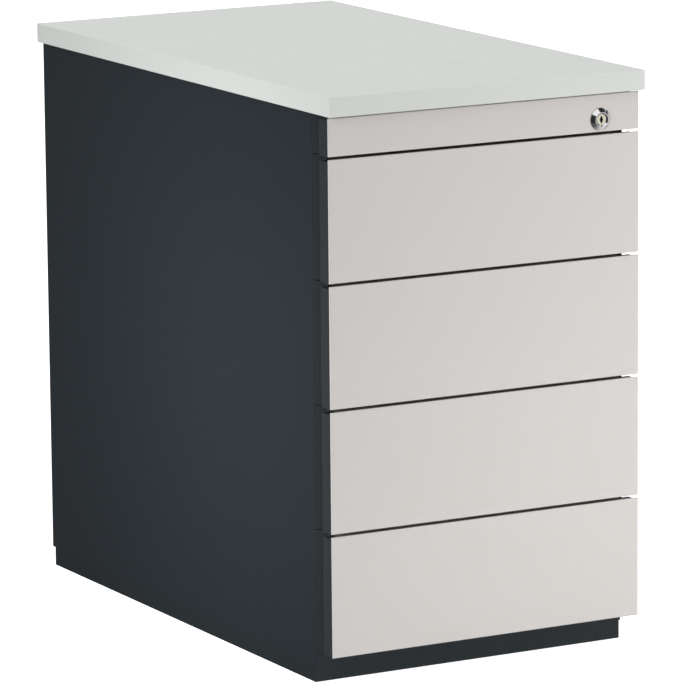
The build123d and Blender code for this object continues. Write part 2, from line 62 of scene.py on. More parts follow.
# %% [markdown]
# ## View
# The unit was photographed with a long lens from the left, a little above the top. A camera is placed by
# hand or from angles. Angles are better here, because they can be measured: two angles turn round a point
# near the middle of the unit, a third tilts the picture, and a long lens at a distance keeps the edges
# nearly parallel.

# %% Camera
view_azimuth = math.radians(-28.7354)
view_pitch = math.radians(10.9082)
view_roll = math.radians(-0.5258)
view_distance = 6.7787
view_centre = Vector((0.01306, 0, 0.33925))
sensor_width, lens_length = 36, 280.73  # in millimetres, as a camera takes them

backwards = Vector((
    math.sin(view_azimuth) * math.cos(view_pitch),
    -math.cos(view_azimuth) * math.cos(view_pitch),
    math.sin(view_pitch),
))
camera_data = bpy.data.cameras.new("camera")
camera_data.sensor_width = sensor_width
camera_data.lens = lens_length
camera = bpy.data.objects.new("camera", camera_data)
scene.collection.objects.link(camera)
camera_turn = (-backwards).to_track_quat("-Z", "Y").to_matrix() @ Matrix.Rotation(view_roll, 3, "Z")
camera.matrix_world = Matrix.Translation(view_centre + view_distance * backwards) @ camera_turn.to_4x4()
scene.camera = camera
scene.view_settings.view_transform = "Standard"
print("camera at", [round(c, 3) for c in camera.location])

# %% [markdown]
# ## Helpers for node trees
# Every finish and the studio itself are node trees. Writing each node, socket and link in full would hide
# what the tree does. So one helper either sets or links each input of a node, one makes a node with its
# inputs fed, and the rest make the few nodes that come up all the time.

# %% Node helpers
def feed(tree, node, inputs):
    """Sets each input of a node to a value, or links it to a socket."""
    for key, value in inputs.items():
        if isinstance(value, bpy.types.NodeSocket):
            tree.links.new(value, node.inputs[key])
        else:
            node.inputs[key].default_value = value


def add(tree, kind, inputs=None, **options):
    """A new node, with its options set and its inputs fed."""
    made = tree.nodes.new(kind)
    for option, value in options.items():
        setattr(made, option, value)
    feed(tree, made, inputs or {})
    return made


def maths(tree, operation, first, second=0.0, clamp=False):
    """The result of one sum."""
    made = add(tree, "ShaderNodeMath", {0: first, 1: second}, operation=operation, use_clamp=clamp)
    return made.outputs[0]


def remap(tree, value, known, wanted):
    """A value from a known range, spread over a wanted one."""
    spread = add(tree, "ShaderNodeMapRange", {
        "Value": value, "From Min": known[0], "From Max": known[1], "To Min": wanted[0], "To Max": wanted[1],
    })
    return spread.outputs["Result"]


def blend(tree, amount, first, second):
    """A number between two others, from the first to the second."""
    return add(tree, "ShaderNodeMix", {0: amount, 2: first, 3: second}).outputs[0]


def axes(tree, vector):
    """The three parts of a vector, by the names of their axes."""
    return add(tree, "ShaderNodeSeparateXYZ", {0: vector}).outputs


def agreement(tree, first, second):
    """The cosine of the angle between two directions."""
    return add(tree, "ShaderNodeVectorMath", {0: first, 1: second}, operation="DOT_PRODUCT").outputs["Value"]


def blank(name):
    """A material with only its shader: the material, its tree and the shader."""
    material = bpy.data.materials.new(name)
    material.use_nodes = True
    tree = material.node_tree
    tree.nodes.clear()
    shader = add(tree, "ShaderNodeBsdfPrincipled")
    add(tree, "ShaderNodeOutputMaterial", {"Surface": shader.outputs[0]})
    return material, tree, shader


# %% [markdown]
# ## Studio
# The photograph has a white ground and no hard shadow, so a dome of light does most of the work. Shiny
# metal needs more than that: in an even dome it looks like grey paint. So reflections see a dark room
# instead, with a soft box high at the front, a pale card at the front right, a pale wall behind the unit,
# a bright ceiling and a pale floor. Matt surfaces still get the even light, and the camera sees plain
# white.

# %% Dome
world = bpy.data.worlds.new("studio")
world.use_nodes = True
scene.world = world
sky = world.node_tree
sky.nodes.clear()
look = add(sky, "ShaderNodeTexCoord").outputs["Generated"]
direction = axes(sky, look)


def glow(centre, edge, heart, strength):
    """A round light in the dark room. Edge and heart are cosines of the angle from its centre."""
    return remap(sky, agreement(sky, look, centre), (edge, heart), (0.0, strength))


brighter_above = remap(sky, direction["Z"], (-0.2, 0.8), (0.77, 0.88))
brighter_left = remap(sky, direction["X"], (-0.8, 0.8), (1.25, 0.92))
even = maths(sky, "MULTIPLY", brighter_above, brighter_left)

soft_box = glow(centre=(-0.18, -0.65, 0.74), edge=0.87, heart=0.94, strength=1.0)
pale_card = glow(centre=(0.47, -0.86, -0.19), edge=0.7, heart=0.95, strength=0.85)
pale_wall = glow(centre=(0.45, 0.87, 0.2), edge=0.7, heart=0.95, strength=0.8)
ceiling = glow(centre=(0, 0, 1), edge=0.84, heart=0.95, strength=0.8)
floor_below = glow(centre=(0, 0, -1), edge=0.35, heart=0.6, strength=0.7)
brighter_right = remap(sky, direction["X"], (-0.3, 0.5), (0.15, 1.0))
pale_floor = maths(sky, "MULTIPLY", floor_below, brighter_right)
darkest, plain_white = 0.03, 1.0
room = darkest
for pale_thing in (soft_box, pale_card, pale_wall, ceiling, pale_floor):
    room = maths(sky, "MAXIMUM", room, pale_thing)

ray = add(sky, "ShaderNodeLightPath").outputs
lit = blend(sky, ray["Is Glossy Ray"], even, room)
shown = blend(sky, ray["Is Camera Ray"], lit, plain_white)
dome = add(sky, "ShaderNodeBackground", {"Color": (1, 1, 1, 1), "Strength": shown})
add(sky, "ShaderNodeOutputWorld", {"Surface": dome.outputs[0]})
print("dome with", len(sky.nodes), "nodes")

# %% [markdown]
# ## Lamps
# A dome alone lights every front alike. Four soft lamps add what the photograph shows: fronts that grow
# brighter to the lower right, a bottom drawer that is brighter than the rest, a side lit mostly in its
# middle, and a bright top.

# %% Soft lamps
def soft_lamp(name, place, aim, size, power, spread=180, mirrored=False):
    """A square lamp that faces a point. No view shows it, and shiny metal does only if it is mirrored."""
    lamp = bpy.data.lights.new(name, "AREA")
    lamp.size = size
    lamp.energy = power
    lamp.spread = math.radians(spread)
    holder = bpy.data.objects.new(name, lamp)
    scene.collection.objects.link(holder)
    facing = (Vector(aim) - Vector(place)).to_track_quat("-Z", "Y").to_matrix()
    holder.matrix_world = Matrix.Translation(place) @ facing.to_4x4()
    holder.visible_camera = False
    holder.visible_glossy = mirrored


soft_lamp("front_lamp", place=(1.15, -1.45, 0.22), aim=(0, -0.4, 0.22), size=0.36, power=10.8)
soft_lamp("low_lamp", place=(0.1, -2.6, 0.2), aim=(-0.03, -0.4, 0.05), size=0.2, power=0.08, spread=26)
soft_lamp("side_lamp", place=(-0.75, -0.14, 0.36), aim=(-0.2, -0.14, 0.36), size=0.35, power=2.5)
soft_lamp("top_lamp", place=(0.0, 0.2, 4.0), aim=(0, 0, 0.5), size=3.0, power=25, mirrored=True)

# %% [markdown]
# ## Floor
# The floor is a plain pale sheet, large enough that no view shows its end. The photograph's ground is
# pure white, and a real floor as bright as that would flatten the fronts with its glare. So it glows for
# the camera alone: the object gets only the light that a pale floor sends back, and reflections see past
# it to the dark room.

# %% Floor sheet
floor_half, floor_grey, floor_glow = 30.0, 0.55, 0.95
floor_mesh = bpy.data.meshes.new("floor")
shape = bmesh.new()
bmesh.ops.create_grid(shape, x_segments=2, y_segments=2, size=floor_half)
shape.to_mesh(floor_mesh)
shape.free()
floor = bpy.data.objects.new("floor", floor_mesh)
scene.collection.objects.link(floor)
floor_white, floor_tree, floor_shader = blank("floor_white")
seen = add(floor_tree, "ShaderNodeLightPath").outputs["Is Camera Ray"]
feed(floor_tree, floor_shader, {
    "Base Color": (floor_grey, floor_grey, floor_grey, 1),
    "Roughness": 0.9,
    "Specular IOR Level": 0.1,
    "Emission Color": (1, 1, 1, 1),
    "Emission Strength": maths(floor_tree, "MULTIPLY", seen, floor_glow),
})
floor_mesh.materials.append(floor_white)
floor.visible_glossy = False
print("floor", 2 * floor_half, "metres wide")

# %% [markdown]
# ## Shared effects
# Powder coat, melamine, zinc and moulded plastic look different, but the same few things make them real:
# a fine relief, a slow drift of tone, places that hands have made smoother, edges a shade lighter, partly
# scuffed and partly a painted highlight, and dust that settles on what faces up. Each is a node group,
# made once, that the finishes use with numbers of their own.

# %% Group helpers
FLOAT, COLOUR, VECTOR = "NodeSocketFloat", "NodeSocketColor", "NodeSocketVector"


def effect(name, inputs, outputs):
    """An empty shader group with named sockets: the group, its inputs to read, and its outputs to feed."""
    group = bpy.data.node_groups.new(name, "ShaderNodeTree")
    for label, (kind, value) in inputs.items():
        socket = group.interface.new_socket(label, in_out="INPUT", socket_type=kind)
        socket.default_value = value
    for label, kind in outputs.items():
        group.interface.new_socket(label, in_out="OUTPUT", socket_type=kind)
    return group, group.nodes.new("NodeGroupInput").outputs, group.nodes.new("NodeGroupOutput")


def noise(tree, place, scale, detail=2.0, roughness=0.5):
    """Plain noise between 0 and 1."""
    made = add(tree, "ShaderNodeTexNoise", {
        "Vector": place, "Scale": scale, "Detail": detail, "Roughness": roughness,
    })
    return made.outputs["Fac"]


def object_place(tree):
    """Where a point lies on the object, which moves along with its piece."""
    return add(tree, "ShaderNodeTexCoord").outputs["Object"]


# %% Relief and tone
relief, given, result = effect("fine_relief", {"Grains per metre": (FLOAT, 900.0)}, {"Height": FLOAT})
place = object_place(relief)
coarse_share, fine_share, finer = 0.65, 0.35, 3.3
coarse = noise(relief, place, given["Grains per metre"], detail=1.0)
fine = noise(relief, place, maths(relief, "MULTIPLY", given["Grains per metre"], finer))
coarse_height = maths(relief, "MULTIPLY", coarse, coarse_share)
fine_height = maths(relief, "MULTIPLY", fine, fine_share)
feed(relief, result, {"Height": maths(relief, "ADD", coarse_height, fine_height)})

drift, given, result = effect("tone_drift", {
    "Colour": (COLOUR, (0.5, 0.5, 0.5, 1)),
    "Patches per metre": (FLOAT, 4.0),
    "Amount": (FLOAT, 0.05),
}, {"Colour": COLOUR})
patches = noise(drift, object_place(drift), given["Patches per metre"], detail=4.0, roughness=0.6)
both_ways = maths(drift, "MULTIPLY", given["Amount"], 2.0)
change = maths(drift, "MULTIPLY", maths(drift, "SUBTRACT", patches, 0.5), both_ways)
scaled = add(drift, "ShaderNodeVectorMath", {
    0: given["Colour"], "Scale": maths(drift, "ADD", change, 1.0),
}, operation="SCALE")
feed(drift, result, {"Colour": scaled.outputs["Vector"]})

# %% Handling, wear and dust
handling, given, result = effect("handling", {
    "Patches per metre": (FLOAT, 14.0),
    "Smooth": (FLOAT, 0.35),
    "Rough": (FLOAT, 0.5),
}, {"Roughness": FLOAT})
touched = noise(handling, object_place(handling), given["Patches per metre"], detail=5.0, roughness=0.62)
level = remap(handling, touched, (0.3, 0.7), (0.0, 1.0))
span = maths(handling, "SUBTRACT", given["Rough"], given["Smooth"])
rise = maths(handling, "MULTIPLY", level, span)
feed(handling, result, {"Roughness": maths(handling, "ADD", rise, given["Smooth"])})

# Edges are lightened: partly scuffing, partly a painted highlight where a round edge would catch the light.
edges, given, result = effect("scuffed_and_highlit_edges", {"Width": (FLOAT, 0.8 * millimetre)}, {"Edge": FLOAT})
rounded = add(edges, "ShaderNodeBevel", {"Radius": given["Width"]}, samples=6).outputs["Normal"]
straight = add(edges, "ShaderNodeNewGeometry").outputs["Normal"]
at_edge = remap(edges, agreement(edges, rounded, straight), (0.75, 0.995), (1.0, 0.0))
uneven_along_edge = remap(edges, noise(edges, object_place(edges), scale=60.0, detail=3.0), (0.35, 0.65), (0.3, 1.0))
feed(edges, result, {"Edge": maths(edges, "MULTIPLY", at_edge, uneven_along_edge, clamp=True)})

dust, given, result = effect("settled_dust", {"Amount": (FLOAT, 0.1)}, {"Dust": FLOAT})
upward = axes(dust, add(dust, "ShaderNodeNewGeometry").outputs["Normal"])["Z"]
facing_up = remap(dust, upward, (0.6, 1.0), (0.0, 1.0))
specks = noise(dust, object_place(dust), scale=260.0, detail=6.0, roughness=0.7)
settled = maths(dust, "MULTIPLY", facing_up, remap(dust, specks, (0.4, 0.75), (0.25, 1.0)))
feed(dust, result, {"Dust": maths(dust, "MULTIPLY", settled, given["Amount"], clamp=True)})

# %% Grain of metal
drawn, given, result = effect("drawn_metal", {"Stretch": (VECTOR, (900.0, 12.0, 900.0))}, {"Streak": FLOAT})
stretched = add(drawn, "ShaderNodeVectorMath", {
    0: object_place(drawn), 1: given["Stretch"],
}, operation="MULTIPLY")
streaks = noise(drawn, stretched.outputs["Vector"], scale=1.0, detail=4.0, roughness=0.6)
feed(drawn, result, {"Streak": streaks})
print("effects:", sorted(group.name for group in bpy.data.node_groups))

# %% [markdown]
# ## Coats and metals
# A finish is a Principled shader with effects feeding it. Painted sheet, coated board and plastic differ
# in colour, gloss and relief only, so one function makes them all. The folds of the pans behind the
# fronts have the fronts' colour, so a coat may have a second colour for the faces that look up or down.
# Bare metal needs streaks in place of paint grain, so it has a function of its own.

# %% Coats
dust_colour = (0.62, 0.6, 0.57, 1)
# How much lighter the edges get: partly scuffing, partly a painted highlight.
scuff_and_highlight_gain, scuff_and_highlight_lift = 1.35, 0.02
upright_limit = 0.5
coat_bump = 0.6
pan_end_width = 14 * millimetre
fold_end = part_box("drawer_1_pan")[1].x - pan_end_width


def place_effect(tree, group, inputs=None):
    """A shared effect in a finish, with this finish's own values."""
    return add(tree, "ShaderNodeGroup", inputs, node_tree=group).outputs


def mix(tree, amount, first, second):
    """A blend of two colours."""
    return add(tree, "ShaderNodeMix", {0: amount, 6: first, 7: second}, data_type="RGBA").outputs[2]


def up_or_down(tree):
    """A mask of the faces that look straight up or down, without the ends of the fronts."""
    known = add(tree, "ShaderNodeTexCoord").outputs
    slope = maths(tree, "ABSOLUTE", axes(tree, known["Normal"])["Z"])
    across = maths(tree, "ABSOLUTE", axes(tree, known["Object"])["X"])
    inner = maths(tree, "LESS_THAN", across, fold_end)
    return maths(tree, "MULTIPLY", maths(tree, "GREATER_THAN", slope, upright_limit), inner)


def coat(name, colour, gloss, grain, depth, drifting=0.04, scuff_and_highlight=0.25, dusty=0.05, specular=0.5, folds=None):
    """Paint, laminate or plastic. gloss is its smoothest and roughest, grain its relief in grains per metre,
    depth the height of that relief, and folds another colour, for the faces that look up or down."""
    material, tree, shader = blank(name)
    scuffed_and_lit = tuple(min(1.0, scuff_and_highlight_gain * c + scuff_and_highlight_lift) for c in colour)
    plain = mix(tree, up_or_down(tree), (*colour, 1), (*folds, 1)) if folds else (*colour, 1)
    tone = place_effect(tree, drift, {"Colour": plain, "Amount": drifting})["Colour"]
    # Edges a shade lighter: partly scuffing, partly a painted highlight.
    edge = maths(tree, "MULTIPLY", place_effect(tree, edges)["Edge"], scuff_and_highlight)
    tone = mix(tree, edge, tone, (*scuffed_and_lit, 1))
    tone = mix(tree, place_effect(tree, dust, {"Amount": dusty})["Dust"], tone, dust_colour)
    height = place_effect(tree, relief, {"Grains per metre": grain})["Height"]
    bump = add(tree, "ShaderNodeBump", {"Height": height, "Strength": coat_bump, "Distance": depth})
    feed(tree, shader, {
        "Base Color": tone,
        "Roughness": place_effect(tree, handling, {"Smooth": gloss[0], "Rough": gloss[1]})["Roughness"],
        "Normal": bump.outputs["Normal"],
        "Specular IOR Level": specular,
    })
    return material


# %% Metals
# The colour of the painted shade inside the keyhole.
keyhole_shade_colour = (0.06, 0.055, 0.035, 1)
metal_bump = 0.4


def metal(name, colour, gloss, stretch, depth, drifting=0.05, dullness=0.0, shaded_behind=None):
    """Bare or plated metal with a drawn or turned grain. dullness is the share of a matt film on it, and
    what lies further back than the last argument is painted dark: painted shade inside a keyhole."""
    material, tree, shader = blank(name)
    patchy = {"Colour": (*colour, 1), "Amount": drifting, "Patches per metre": 30.0}
    tone = place_effect(tree, drift, patchy)["Colour"]
    # Painted shade: what lies deeper than the given depth is coloured dark, as shade inside the keyhole.
    if shaded_behind is not None:
        inwards = axes(tree, object_place(tree))["Y"]
        tone = mix(tree, maths(tree, "GREATER_THAN", inwards, shaded_behind), tone, keyhole_shade_colour)
    streak = place_effect(tree, drawn, {"Stretch": stretch})["Streak"]
    bump = add(tree, "ShaderNodeBump", {"Height": streak, "Strength": metal_bump, "Distance": depth})
    feed(tree, shader, {
        "Base Color": tone,
        "Roughness": remap(tree, streak, (0.3, 0.7), gloss),
        "Normal": bump.outputs["Normal"],
        "Metallic": 1.0 - dullness,
    })
    return material


# %% [markdown]
# ## Finishes
# Each slot of the frame gets one finish. Steel sheet has a fine powder coat, dark on the carcass, the
# plinth and the pans, pale on the fronts and grey on the boxes. The top is melamine with a plastic edge,
# the tray moulded plastic. Rails and fasteners are zinc that has gone dull, and the lock is chrome round
# satin nickel. Colours are linear, so they look darker here than in the view.

# %% Finishes by slot
front_grey = (0.59, 0.563, 0.543)
# The keyhole's painted shade starts this far behind the face of the lock core.
unshaded_depth = 0.4 * millimetre
in_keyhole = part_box("lock_core")[0].y + unshaded_depth
coats = {
    "carcass_paint": dict(
        colour=(0.0225, 0.0288, 0.0343), gloss=(0.46, 0.52), grain=1500.0, depth=0.04 * millimetre,
        drifting=0.02, specular=0.25,
    ),
    "plinth_paint": dict(
        colour=(0.0225, 0.0285, 0.033), gloss=(0.46, 0.54), grain=1500.0, depth=0.04 * millimetre,
        drifting=0.02, specular=0.2,
    ),
    "pan_paint": dict(
        colour=(0.031, 0.036, 0.041), gloss=(0.46, 0.54), grain=1500.0, depth=0.04 * millimetre,
        specular=0.25, folds=front_grey,
    ),
    "front_paint": dict(
        colour=front_grey, gloss=(0.4, 0.5), grain=1100.0, depth=0.03 * millimetre,
        drifting=0.015, scuff_and_highlight=0.15, dusty=0.0,
    ),
    "box_paint": dict(
        colour=(0.27, 0.28, 0.29), gloss=(0.4, 0.52), grain=1300.0, depth=0.03 * millimetre,
        drifting=0.03, scuff_and_highlight=0.25, dusty=0.08,
    ),
    "board_laminate": dict(
        colour=(0.60, 0.622, 0.60), gloss=(0.46, 0.58), grain=1700.0, depth=0.05 * millimetre,
        drifting=0.012, scuff_and_highlight=0.1, dusty=0.03,
    ),
    # The edge band is the top's colour made a shade lighter: painted light that lifts its faces, which the
    # lamps leave dimmer than the top.
    "board_edge": dict(
        colour=(0.62, 0.643, 0.62), gloss=(0.42, 0.5), grain=2200.0, depth=0.03 * millimetre,
        drifting=0.01, scuff_and_highlight=0.1, dusty=0.0,
    ),
    "tray_plastic": dict(
        colour=(0.028, 0.029, 0.031), gloss=(0.4, 0.55), grain=2400.0, depth=0.05 * millimetre,
        drifting=0.03, scuff_and_highlight=0.3, dusty=0.1,
    ),
}
metals = {
    "rail_zinc": dict(
        colour=(0.60, 0.62, 0.64), gloss=(0.26, 0.42), stretch=(900.0, 9.0, 900.0),
        depth=0.02 * millimetre, dullness=0.3,
    ),
    "fastener_zinc": dict(
        colour=(0.62, 0.63, 0.64), gloss=(0.24, 0.38), stretch=(500.0, 500.0, 500.0),
        depth=0.02 * millimetre, dullness=0.2,
    ),
    "lock_chrome": dict(
        colour=(0.80, 0.81, 0.82), gloss=(0.04, 0.1), stretch=(300.0, 300.0, 300.0),
        depth=0.004 * millimetre, drifting=0.01,
    ),
    "lock_nickel": dict(
        colour=(0.80, 0.76, 0.62), gloss=(0.22, 0.34), stretch=(1500.0, 1500.0, 200.0),
        depth=0.01 * millimetre, shaded_behind=in_keyhole,
    ),
}
finishes = {name: coat(name, **values) for name, values in coats.items()}
finishes |= {name: metal(name, **values) for name, values in metals.items()}
for subpart in frame["record"]["subparts"]:
    mesh = nodes[subpart["node"]].data
    mesh.materials.clear()
    mesh.materials.append(finishes[subpart["material_slot"]])
print(len(finishes), "finishes on", len(nodes), "solids")

# %% [markdown]
# ## Soft edges
# Bent sheet and rolled rails have no knife edges: a narrow round along each edge catches a line of light.
# A bevel could be cut into each mesh, but these solids stay as they are, so a modifier makes the bevel
# for the view alone. The solids come with each face apart, so a weld joins the faces first, and only
# folds sharper than a limit are rounded.

# %% Rounded edges
weld_distance = 0.01 * millimetre
bevel_angle = math.radians(50)


def round_edges(node, width):
    """A narrow bevel along the sharp edges of a solid."""
    weld = nodes[node].modifiers.new("weld", "WELD")
    weld.merge_threshold = weld_distance
    bevel = nodes[node].modifiers.new("rounded", "BEVEL")
    bevel.width = width
    bevel.segments = 2
    bevel.limit_method = "ANGLE"
    bevel.angle_limit = bevel_angle
    bevel.harden_normals = True


plinth_nodes = [f"plinth_{side}" for side in ("front", "rear", "left", "right")]
rail_nodes = [f"drawer_{number}_{kind}_rails" for number in drawer_numbers for kind in ("inner", "middle")]
edge_widths = {
    0.4 * millimetre: [*plinth_nodes, "top_frame_front", "top_frame_rear", "lock_bar"],
    0.25 * millimetre: [*rail_nodes, "outer_rails", "tray_runners"],
}
for width, names in edge_widths.items():
    for name in names:
        round_edges(name, width)
print("solids with soft edges:", sum(len(names) for names in edge_widths.values()))

# %% [markdown]
# ## New pieces
# Some solids are plainer than the real pieces, and a better mesh takes their place. Each new piece takes
# the finish of a slot, moves with a body, and hides the solids that it stands for. The solids also say
# where it goes, so that nothing is placed by eye.

# %% Piece helpers
same_point = 0.001 * millimetre


def piece(name, shape, body, slot, *replaced):
    """A finished mesh as an object that moves with a body and stands for some solids."""
    bmesh.ops.recalc_face_normals(shape, faces=shape.faces)
    mesh = bpy.data.meshes.new(name)
    shape.to_mesh(mesh)
    shape.free()
    mesh.materials.append(finishes[slot])
    made = bpy.data.objects.new(name, mesh)
    scene.collection.objects.link(made)
    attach(made, body)
    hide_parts(*replaced)
    return made


def smooth(made, degrees=40):
    """Round shading, with creases where faces meet at more than an angle."""
    made.data.shade_smooth()
    made.data.set_sharp_from_angle(angle=math.radians(degrees))


def solids(node):
    """The separate solids of a node, each by its lowest and highest corner."""
    shape = bmesh.new()
    shape.from_mesh(nodes[node].data)
    bmesh.ops.remove_doubles(shape, verts=shape.verts, dist=same_point)
    left, boxes = set(shape.verts), []
    while left:
        reached = [left.pop()]
        for vertex in reached:
            near = {edge.other_vert(vertex) for edge in vertex.link_edges} & left
            left -= near
            reached.extend(near)
        corners = [[pick(v.co[i] for v in reached) for i in range(3)] for pick in (min, max)]
        boxes.append((Vector(corners[0]), Vector(corners[1])))
    shape.free()
    return sorted(boxes, key=lambda box: tuple(box[0]))


def wrap(shape, row, rings):
    """Faces from a row of points through further rings of as many points. A face closes the last ring."""
    for points in rings:
        after = [shape.verts.new(point) for point in points]
        for i in range(len(row)):
            shape.faces.new((row[i - 1], row[i], after[i], after[i - 1]))
        row = after
    shape.faces.new(row)


def skin(shape, rings):
    """A closed skin through rings of as many points each, capped at both ends."""
    first, *others = rings
    row = [shape.verts.new(point) for point in first]
    wrap(shape, row, others)
    shape.faces.new(row)


print("solids of the back screws:", len(solids("back_screws")))

# %% [markdown]
# ## Screws
# The screws are plain stepped cylinders so far. A real one has a domed head with a cross recess. A recess
# can be cut out with a boolean, or the head can be built as a stack of rings whose inner ones follow the
# outline of a cross. The rings are chosen: they always give clean faces, and the corners of the cross get
# points of their own.

# %% Cross-head screws
head_height = 2.4 * millimetre
cross_length, cross_width, cross_depth = 4.2 * millimetre, 1.1 * millimetre, 1.5 * millimetre
shank_share, tip_share, recess_share = 0.5, 0.05, 0.7
nearly_zero = 1e-6
dome_shares = [(1.0, 0.72), (0.95, 0.42), (0.84, 0.18), (0.68, 0.05), (0.6, 0.0)]  # of radius and height

cross_corner = math.atan2(cross_width, cross_length)
between = [math.radians(degrees) for degrees in (30, 45, 60)]
quarter = [0, cross_corner, *between, math.pi / 2 - cross_corner]
turns = [k * math.pi / 2 + angle for k in range(4) for angle in quarter]


def cross_reach(angle):
    """How far the outline of the cross lies from its middle, at an angle."""
    along, across = sorted((abs(math.cos(angle)), abs(math.sin(angle))), reverse=True)
    return min(cross_length / 2 / along, cross_width / 2 / max(across, nearly_zero))


def screw(shape, low, high, outward):
    """One screw in the box of its solid. outward is the direction that the head looks in, along an axis."""
    axis = max(range(3), key=lambda i: abs(outward[i]))
    head_radius = (high[axis - 1] - low[axis - 1]) / 2
    length = high[axis] - low[axis]
    top = (low + high) / 2 + length / 2 * Vector(outward)
    turn = Vector(outward).to_track_quat("Z", "Y")

    def ring(reach, depth):
        points = [Vector((reach(a) * math.cos(a), reach(a) * math.sin(a), -depth)) for a in turns]
        return [top + turn @ point for point in points]

    def circle(share, depth):
        return ring(lambda angle: share * head_radius, depth)

    rings = [circle(tip_share, length), circle(shank_share, length - head_height / 2)]
    rings += [circle(shank_share, head_height), circle(1.0, head_height)]
    rings += [circle(share, depth * head_height) for share, depth in dome_shares]
    rings += [ring(cross_reach, 0), ring(lambda angle: recess_share * cross_reach(angle), cross_depth)]
    skin(shape, rings)


def screws(node, body, outward):
    """All the screws of a node."""
    shape = bmesh.new()
    for low, high in solids(node):
        screw(shape, low, high, outward)
    smooth(piece(f"{node}_cross_head", shape, body, "fastener_zinc", node), degrees=30)


to_the_back, downwards = (0, 1, 0), (0, 0, -1)
screws("back_screws", "carcass", to_the_back)
screws("top_screws", "carcass", downwards)
screws("utility_screws", "utility_drawer", to_the_back)
for number in drawer_numbers:
    screws(f"drawer_{number}_screws", f"drawer_{number}", to_the_back)
print("screws:", {node: len(solids(node)) for node in nodes if node.endswith("_screws")})

# %% [markdown]
# ## Folded drawer boxes
# A steel drawer is one sheet, bent up into two sides whose upper edges are rolled over outwards, with a
# front and a back wall welded in. Extruding a plain outline would give sharp folds. So a line is drawn
# first, each of its corners is rounded into an arc, and the sheet is laid along it at its own thickness.
# The same two steps make the walls, with a stiffening lip on top, and the catch that the lock bar stops.

# %% Bent sheet
sheet_thickness = 1.0 * millimetre
half_sheet = sheet_thickness / 2


def bent(corners, radius, steps=5):
    """A line through corners, each rounded into an arc."""
    corners = [Vector(corner) for corner in corners]
    line = corners[:1]
    for before, here, after in zip(corners, corners[1:], corners[2:]):
        back, ahead = (before - here).normalized(), (after - here).normalized()
        half = back.angle(ahead) / 2
        centre = here + (back + ahead).normalized() * radius / math.sin(half)
        start = here + back * radius / math.tan(half) - centre
        end = here + ahead * radius / math.tan(half) - centre
        sweep = start.angle(end)
        aside = (end - start * math.cos(sweep)) / math.sin(sweep)
        for step in range(steps + 1):
            angle = sweep * step / steps
            line.append(centre + start * math.cos(angle) + aside * math.sin(angle))
    return line + corners[-1:]


def lay_sheet(shape, line, start, end, place):
    """Sheet along a line, from start to end across it. place gives the point for a point of the line and how
    far across it lies."""
    offsets = []
    for i in range(len(line)):
        joined = zip(line[max(i - 1, 0):i + 1], line[max(i, 1):i + 2])
        ways = [(b - a).normalized() for a, b in joined if a != b]
        normals = [Vector((-way.y, way.x)) for way in ways]
        normal = sum(normals, Vector((0, 0))).normalized()
        offsets.append(normal * half_sheet / normal.dot(normals[0]))
    faces = [p + o for p, o in zip(line, offsets)], [p - o for p, o in zip(line, offsets)]
    rows = [[shape.verts.new(place(p, across)) for p in face] for across in (start, end) for face in faces]
    near_out, near_in, far_out, far_in = rows
    for a, b in ((near_out, far_out), (far_in, near_in), (near_in, near_out), (far_out, far_in)):
        for i in range(len(a) - 1):
            shape.faces.new((a[i], a[i + 1], b[i + 1], b[i]))
    for i in (0, -1):
        shape.faces.new((near_out[i], far_out[i], far_in[i], near_in[i]))


print("a bend of five steps:", len(bent([(0, 0), (1, 0), (1, 1)], 0.2)), "points")

# %% Drawer boxes
hem_width, hem_height = 4.0 * millimetre, 8.0 * millimetre
fold, lip_width, lip_drop = 1.6 * millimetre, 9.0 * millimetre, 5.0 * millimetre


def across_unit(point, y):
    """A line drawn across the unit, seen from the front."""
    return Vector((point.x, y, point.y))


def along_unit(point, x):
    """A line drawn along the unit, seen from the right."""
    return Vector((x, point.x, point.y))


def drawer_box(number):
    """Trough with rolled hems, front and back walls with a lip, and the catch."""
    node = f"drawer_{number}_box"
    low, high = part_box(node)
    wall = -low.x - hem_width - half_sheet
    hem = -low.x - half_sheet
    floor_z, rim_z = low.z + half_sheet, high.z - half_sheet
    side = [(wall, floor_z), (wall, rim_z), (hem, rim_z), (hem, high.z - hem_height)]
    trough = [(-x, z) for x, z in reversed(side)] + side
    shape = bmesh.new()
    lay_sheet(shape, bent(trough, fold), low.y, high.y, across_unit)
    inner = wall - half_sheet
    for edge_y, inwards in ((low.y, 1), (high.y, -1)):
        y, lip_y = edge_y + inwards * half_sheet, edge_y + inwards * lip_width
        end = [(y, floor_z + half_sheet), (y, rim_z), (lip_y, rim_z), (lip_y, rim_z - lip_drop)]
        lay_sheet(shape, bent(end, fold), -inner, inner, along_unit)
    catch_low, catch_high = max(solids(node), key=lambda box: box[1].x)
    catch_x, catch_z = wall + sheet_thickness, catch_low.z + half_sheet
    foot = [(catch_x, catch_z + lip_width), (catch_x, catch_z), (catch_high.x, catch_z)]
    lay_sheet(shape, bent(foot, fold), catch_low.y, catch_high.y, across_unit)
    smooth(piece(f"{node}_folded", shape, f"drawer_{number}", "box_paint", node))


for number in drawer_numbers:
    drawer_box(number)
print("folded boxes:", len(drawer_numbers))

# %% [markdown]
# ## Moulded utility tray
# The tray is one plastic moulding with room for pens in front of a bin. Moulded corners are round both in
# plan and down the walls, so each pocket is a stack of rounded rectangles that shrink towards its floor.
# The rim between the pockets is one flat face with holes, which Blender fills from its edges.

# %% Rounded rectangles
def inset(rectangle, by):
    """A rectangle, given by its left, right, front and back, with each side moved inwards."""
    left, right, front, back = rectangle
    return left + by, right - by, front + by, back - by


